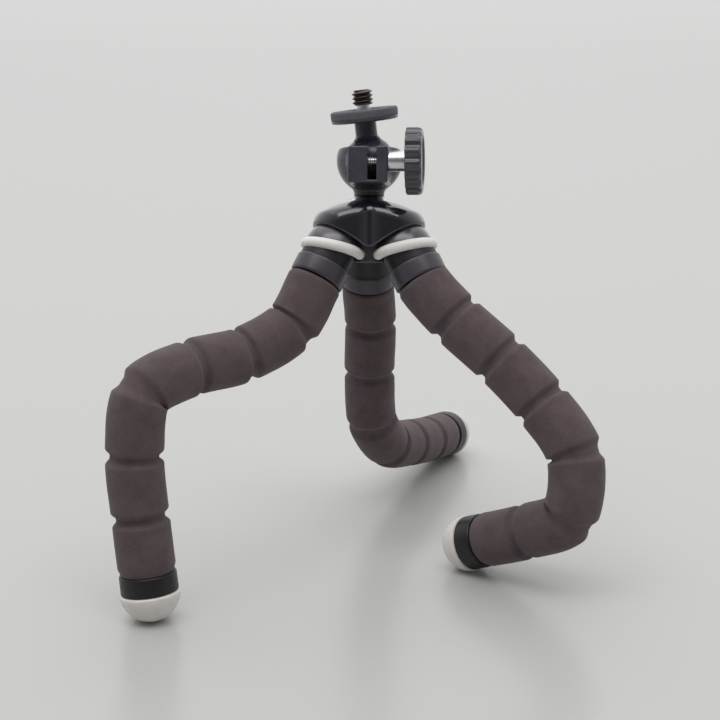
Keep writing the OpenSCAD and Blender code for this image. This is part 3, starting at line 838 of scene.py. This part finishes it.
def about_heading(p, side):
    """Points of the hub's frame with x turned to a leg's heading."""
    a = math.radians(HEADING[side])
    x = p[:, 0] * math.cos(a) + p[:, 1] * math.sin(a)
    y = p[:, 1] * math.cos(a) - p[:, 0] * math.sin(a)
    return np.stack([x, y, p[:, 2]], -1)


def hood_lobes(p, inset, crease):
    """Three round towers with rounded rims under one flat dome."""
    dome = ball_distance(p, DOME_R, DOME_TOP - DOME_R) + LOBE_ROUND
    lobes = None
    for side in SIDES:
        q = about_heading(p, side)
        wall = np.hypot(q[:, 0] - LOBE_REACH, q[:, 1]) - LOBE_R + LOBE_ROUND
        rim = np.hypot(np.maximum(wall, 0), np.maximum(dome, 0))
        lobe = rim + np.minimum(np.maximum(wall, dome), 0) - LOBE_ROUND + inset
        lobes = lobe if lobes is None else joined(lobes, lobe, crease)
    return lobes


def below_visor(p, side):
    """Distance below a lobe's sloped visor edge."""
    q = about_heading(p, side)
    out, up = q[:, 0] - LOBE_REACH - LOBE_R, q[:, 2] - VISOR_HEIGHT
    return out * math.sin(VISOR_SLOPE) - up * math.cos(VISOR_SLOPE)


def hood_field(p):
    """A thin hood cut off at its visors, with a cone for the neck, a post on the core and a bolt hole."""
    shell = hood_lobes(p, 0, HOOD_CREASE)
    for side in SIDES:
        shell = common(shell, below_visor(p, side), HOOD_EDGE)
    shell = common(shell, VALLEY_HEIGHT - p[:, 2], HOOD_EDGE)
    shell = cut(shell, hood_lobes(p, HOOD_WALL, HOOD_EDGE), 0.4)
    rise = NECK_FOOT - BOSS_FOOT
    slope = math.hypot(rise, BOSS_R - NECK_R)
    out, up = np.hypot(p[:, 0], p[:, 1]) - BOSS_R, p[:, 2] - BOSS_FOOT
    cone = (out * rise + up * (BOSS_R - NECK_R)) / slope
    cone = common(cone, p[:, 2] - NECK_FOOT + CORE_GAP, 0.3)
    cone = common(cone, BOSS_FOOT - HOOD_WALL - p[:, 2], 0.3)
    shell = joined(shell, cone, HOOD_CREASE)
    shell = joined(shell, rod(p, POST_R, CORE_TOP + CORE_GAP, BOSS_FOOT, 0.3), 0.6)
    return cut(shell, rod(p, BOLT_R, 0, 2 * NECK_FOOT, 0.1), 0.2)


def hood_piece():
    side_margin, end_margin = 0.6, 0.8
    reach = LOBE_REACH + LOBE_R + side_margin
    low, high = (-reach, -reach, VALLEY_HEIGHT - end_margin), (reach, reach, NECK_FOOT + end_margin)
    hood = moulded("hood", HUB, hood_field, low, high, HOOD_CELL)
    dressed(hood, "hub", "hub_plastic", MATERIALS["hub_plastic"], "hub_cap")


# Head


def cup_field(p):
    """A split ball cup on a neck, with two clamp ears, the screw's hole and the nut's pocket."""
    cup = common(ball_distance(p, CUP_R), p[:, 2] - CUP_RIM, 0.7)
    neck = rod(p, NECK_R, NECK_FOOT - BALL_HEIGHT + NECK_GAP, -BALL_R, 0.3)
    cup = joined(cup, neck, NECK_FILLET)
    ears = block(p, (EAR_LEFT, -EAR_REACH, -EAR_BOTTOM), (EAR_RIGHT, -BALL_R / 2, EAR_TOP), EAR_ROUND)
    cup = joined(cup, ears, EAR_FILLET)
    cup = cut(cup, ball_distance(p, BALL_R + BALL_GAP), 0.3)
    cup = cut(cup, rod(p, MOUTH_R, 0, 2 * CUP_R, 0.3), 0.5)
    slot_low = (SLOT_LEFT, -2 * EAR_REACH, SLOT_BRIDGE - EAR_BOTTOM)
    cup = cut(cup, block(p, slot_low, (SLOT_RIGHT, -BALL_R / 2, 2 * CUP_R), 0.2), 0.5)
    q = np.stack([p[:, 1] + SCREW_REACH, p[:, 2] + SCREW_DROP, p[:, 0]], -1)
    cup = cut(cup, rod(q, SCREW_R + SCREW_GAP, -2 * CUP_R, 2 * CUP_R, 0.1), 0.35)
    flats = [np.abs(q[:, 0] * math.sin(a) + q[:, 1] * math.cos(a)) for a in np.radians((30, 90, 150))]
    pocket = np.max(flats, axis=0) - NUT_FLATS / 2 - NUT_GAP
    pocket = common(pocket, q[:, 2] - EAR_LEFT - NUT_SEAT, 0.1)
    cup = cut(cup, pocket, 0.3)
    bolt = rod(p, BOLT_R, -2 * CUP_R, BOLT_END - BALL_HEIGHT, 0.1)
    return cut(cup, bolt, 0.2)


def knob_field(p):
    """A fluted knob with a chamfer, a shallow recess outside and a blind hole for the screw."""
    rho, turn = np.hypot(p[:, 0], p[:, 1]), np.arctan2(p[:, 1], p[:, 0])
    outer = SLEEVE_END + KNOB_THICK
    knob = common(rho - KNOB_R, np.abs(p[:, 2] - SLEEVE_END - KNOB_THICK / 2) - KNOB_THICK / 2, 0.5)
    chamfer = (rho - KNOB_R + p[:, 2] - outer + KNOB_CHAMFER) / math.sqrt(2)
    knob = common(knob, chamfer, 0.6)
    pitch = 2 * math.pi / KNOB_FLUTES
    a = (turn + pitch / 2) % pitch - pitch / 2
    flute = np.hypot(rho * np.cos(a) - KNOB_R - FLUTE_R + FLUTE_DEPTH, rho * np.sin(a)) - FLUTE_R
    knob = cut(knob, flute, 0.5)
    knob = cut(knob, rod(p, KNOB_RECESS_R, outer - KNOB_RECESS, outer + KNOB_R, 0.3), 0.4)
    return cut(knob, rod(p, SCREW_R + GRIP_GAP, 0, SLEEVE_END + SCREW_GRIP, 0.1), 0.2)


def clamp_pieces():
    margin = 0.6
    reach = KNOB_R + margin
    low, high = (-reach, -reach, SLEEVE_END - margin), (reach, reach, SLEEVE_END + KNOB_THICK + margin)
    knob = moulded("tension_knob", CLAMP, knob_field, low, high, HEAD_CELL)
    dressed(knob, "clamp_knob", "knob_plastic", MATERIALS["knob_plastic"], "clamp_knob")
    sleeve = lathe("thrust_sleeve", CLAMP, [
        (SCREW_R + SLEEVE_GAP, EAR_RIGHT, 0), (SLEEVE_R, EAR_RIGHT, 0.25), (SLEEVE_R, SLEEVE_END, 0.25),
        (SCREW_R + SLEEVE_GAP, SLEEVE_END, 0)])
    dressed(sleeve, "clamp_sleeve", "bright_metal", MATERIALS["bright_metal"], "clamp_boss")
    low, high = EAR_LEFT - NUT_PROUD, SLEEVE_END + SCREW_GRIP
    screw = threaded_rod("tension_screw", CLAMP, [
        (low, SCREW_R - 0.3), (low + 0.3, SCREW_R), (high, SCREW_R)],
        SCREW_PITCH, SCREW_THREAD_DEPTH, low, EAR_RIGHT, sides=48, step=0.07)
    dressed(screw, "clamp_knob", "bright_metal", MATERIALS["bright_metal"], "clamp_screw")


def cup_piece():
    margin = 0.7
    reach = CUP_R + margin
    low = (-reach, -EAR_REACH - margin, NECK_FOOT - BALL_HEIGHT - margin)
    cup = moulded("socket", CUP, cup_field, low, (reach, reach, CUP_RIM + margin), HEAD_CELL)
    dressed(cup, "hub", "head_plastic", MATERIALS["head_plastic"], "ball_cup")


def platform_pieces():
    turns = np.linspace(-math.pi / 2, math.pi / 2, 41)
    ball = [(BALL_R * math.cos(a), BALL_R * math.sin(a), 0) for a in turns]
    dressed(lathe("pivot_ball", BALL, ball), "ball", "head_plastic", MATERIALS["head_plastic"], "ball")
    ball_seat, foot_r, stem_top = BALL_R + BALL_GAP, STEM_R + STEM_FLARE, PLATE_HEIGHT - STEM_GAP
    seat = math.sqrt(ball_seat**2 - foot_r**2)
    stud_seat, seat_floor = STUD_NECK_R + STUD_SEAT_GAP, STUD_ROOT - STUD_SEAT_GAP
    stem = lathe("neck_stem", HEAD, [
        (0, ball_seat, 0), (foot_r, seat, 0), (STEM_R, seat + STEM_FLARE_RISE, 0.7),
        (STEM_R, stem_top, 0.2), (stud_seat, stem_top, 0), (stud_seat, seat_floor, 0), (0, seat_floor, 0)])
    dressed(stem, "stem", "head_plastic", MATERIALS["head_plastic"], "stem")
    pad_low = PLATE_HEIGHT + PLATE_THICK
    top = pad_low + PAD_THICK
    bore = STUD_NECK_R + STUD_GAP
    plate = lathe("platform_disc", HEAD, [
        (bore, PLATE_HEIGHT, 0), (PLATE_R - PLATE_EDGE, PLATE_HEIGHT, 0.4),
        (PLATE_R, PLATE_HEIGHT + PLATE_EDGE, 0.4),
        (PLATE_R - 0.1, pad_low, 0.15), (bore, pad_low, 0)])
    dressed(plate, "platform", "head_plastic", MATERIALS["head_plastic"], "camera_plate")
    pad = lathe("platform_facing", HEAD, [
        (bore, pad_low, 0), (PLATE_R - 0.15, pad_low, 0.2), (PLATE_R, pad_low + 0.3, 0.3),
        (PLATE_R, top - PAD_EDGE, 0.4), (PLATE_R - PAD_EDGE, top, 0.4), (PAD_DISH_R, top, 0.2),
        (PAD_DISH_R - PAD_DISH, top - PAD_DISH, 0.2), (bore, top - PAD_DISH, 0)])
    dressed(pad, "platform", "pad_rubber", MATERIALS["pad_rubber"], "plate_pad")
    thread_low = top + STUD_NECK
    tip = top + STUD_LENGTH
    stud = threaded_rod("camera_screw", HEAD, [
        (STUD_ROOT, STUD_NECK_R), (thread_low - STUD_RUNOUT, STUD_NECK_R), (thread_low, STUD_R - 0.35),
        (thread_low + 0.3, STUD_R), (tip - 0.6, STUD_R), (tip - 0.15, STUD_R - 0.45), (tip, STUD_R - 0.75)],
        STUD_PITCH, STUD_THREAD_DEPTH, thread_low - STUD_RUNOUT, tip + 0.3)
    dressed(stud, "platform", "stud_metal", MATERIALS["stud_metal"], "camera_stud")
    stud.data.materials.append(MATERIALS["bright_metal"])
    # The neck below the thread gets the bright metal, a painted highlight: a brighter metal than the thread's
    # where light glints on the stud's base
    for face in stud.data.polygons:
        height = (np.array(face.center) / MM - HEAD.origin) @ HEAD.z
        face.material_index = int(height < thread_low - STUD_RUNOUT / 2)


# CAD nodes that keep their own shape


# Slot and material of each node
KEPT_NODES = {
    "hub_body": ("knuckle_plastic", "knuckle_plastic"),
    "clamp_nut": ("bright_metal", "bright_metal"),
    "head_bolt": ("steel", "steel"),
    "head_washer": ("steel", "steel"),
    # The bands get the lighter copy of the white rubber, which is painted light
    **{f"{side}_band": ("white_rubber", "band_rubber_painted_light") for side in SIDES},
}


def band_plane(side):
    """A point of the plane that a band lies in, and its direction towards the hood."""
    mesh = NODES[f"{side}_band"].data
    points = np.array([v.co for v in mesh.vertices]) / MM
    middle = points.mean(0)
    flat = np.linalg.svd(points - middle, full_matrices=False)[2][2]
    return middle, flat * np.sign(flat @ HUB.z)


def paint_shade_below_bands(mesh):
    """Painted shade below the bands: the faces of the hub's body under the plane of their nearest band get a
    near-black material.
    """
    mesh.materials.append(MATERIALS["painted_band_shade_plastic"])
    planes = [band_plane(side) for side in SIDES]
    for face in mesh.polygons:
        p = np.array(face.center) / MM
        middle, up = min(planes, key=lambda plane: np.linalg.norm(p - plane[0]))
        face.material_index = int((p - middle) @ up < 0)


def dress_kept_nodes():
    for name, (slot, material) in KEPT_NODES.items():
        node = NODES[name]
        node.data.materials.clear()
        node.data.materials.append(MATERIALS[material])
    # Painted shade: the hub's body below the bands turns near-black
    paint_shade_below_bands(NODES["hub_body"].data)


# Stage, light and camera


FLOOR_COLOR = (0.53, 0.53, 0.52)
FLOOR_ROUGHNESS = 0.26
FLOOR_SHINE = 0.4
WORLD_LEVEL = 0.5
WORLD_SLOPE = (0.0, 0.5, 0.22)
WORLD_LEAST = 0.14
FLOOR_HALF = 24.0
SKY_AIM = (0.15, -0.25, -1.0)
SKY_SPREAD = math.radians(70)
SKY_STRENGTH = 0.5
KEY_PLACE = (-0.05, -0.5, 1.2)
KEY_TARGET = (0, 0, 0.08)
KEY_SIZE = (1.5, 0.5)
KEY_POWER = 6.2
CAMERA_FROM_HUB = np.array((-2.7, -446.2, 86.0))
CAMERA_PITCH = math.radians(15.19)
CAMERA_LENS = 74.0
SENSOR = 36.0


def add_floor():
    mesh = bpy.data.meshes.new("floor")
    h = FLOOR_HALF
    mesh.from_pydata([(-h, -h, 0), (h, -h, 0), (h, h, 0), (-h, h, 0)], [], [(0, 1, 2, 3)])
    floor = bpy.data.objects.new("floor", mesh)
    bpy.context.scene.collection.objects.link(floor)
    surface = Surface("floor", FLOOR_COLOR, FLOOR_ROUGHNESS, Specular_IOR_Level=FLOOR_SHINE)
    mesh.materials.append(surface.material)


def add_lamp(name, place, target, size, power):
    lamp = bpy.data.lights.new(name, "AREA")
    lamp.shape = "RECTANGLE"
    lamp.size, lamp.size_y = size
    lamp.energy = power
    obj = bpy.data.objects.new(name, lamp)
    obj.location = place
    obj.rotation_euler = (Vector(target) - Vector(place)).to_track_quat("-Z", "Y").to_euler()
    bpy.context.scene.collection.objects.link(obj)


def add_world():
    """A white room, brighter above and behind the object and dim in front of it."""
    world = bpy.data.worlds.new("studio")
    bpy.context.scene.world = world
    world.use_nodes = True
    nodes, links = world.node_tree.nodes, world.node_tree.links
    where = nodes.new("ShaderNodeTexCoord").outputs["Generated"]
    slope = nodes.new("ShaderNodeVectorMath")
    slope.operation = "DOT_PRODUCT"
    slope.inputs[1].default_value = WORLD_SLOPE
    links.new(where, slope.inputs[0])
    level = nodes.new("ShaderNodeMath")
    level.inputs[1].default_value = WORLD_LEVEL
    links.new(slope.outputs["Value"], level.inputs[0])
    least = nodes.new("ShaderNodeMath")
    least.operation = "MAXIMUM"
    least.inputs[1].default_value = WORLD_LEAST
    links.new(level.outputs["Value"], least.inputs[0])
    links.new(least.outputs["Value"], nodes["Background"].inputs["Strength"])
    nodes["Background"].inputs["Color"].default_value = (1.0, 1.0, 1.0, 1)


def add_sun(name, direction, spread, strength):
    """An even light from a wide patch of sky, which shines along direction."""
    sun = bpy.data.lights.new(name, "SUN")
    sun.energy, sun.angle = strength, spread
    obj = bpy.data.objects.new(name, sun)
    obj.rotation_euler = Vector(direction).to_track_quat("-Z", "Y").to_euler()
    bpy.context.scene.collection.objects.link(obj)


def add_camera():
    data = bpy.data.cameras.new("camera")
    data.lens, data.sensor_width = CAMERA_LENS, SENSOR
    data.clip_start, data.clip_end = 0.01, 50
    camera = bpy.data.objects.new("camera", data)
    camera.location = (HUB.origin + CAMERA_FROM_HUB) * MM
    camera.rotation_euler = (math.pi / 2 - CAMERA_PITCH, 0, 0)
    bpy.context.scene.collection.objects.link(camera)
    bpy.context.scene.camera = camera


for leg in LEGS:
    for joint in range(JOINTS_PER_LEG):
        foam_piece(leg, joint)
        wire_piece(leg, joint)
    foot_pieces(leg)
    collar_piece(leg.side)
hood_piece()
cup_piece()
clamp_pieces()
platform_pieces()
dress_kept_nodes()

add_floor()
add_world()
add_sun("sky", SKY_AIM, SKY_SPREAD, SKY_STRENGTH)
add_lamp("key", KEY_PLACE, KEY_TARGET, KEY_SIZE, KEY_POWER)
add_camera()
bpy.context.scene.view_settings.view_transform = "Standard"
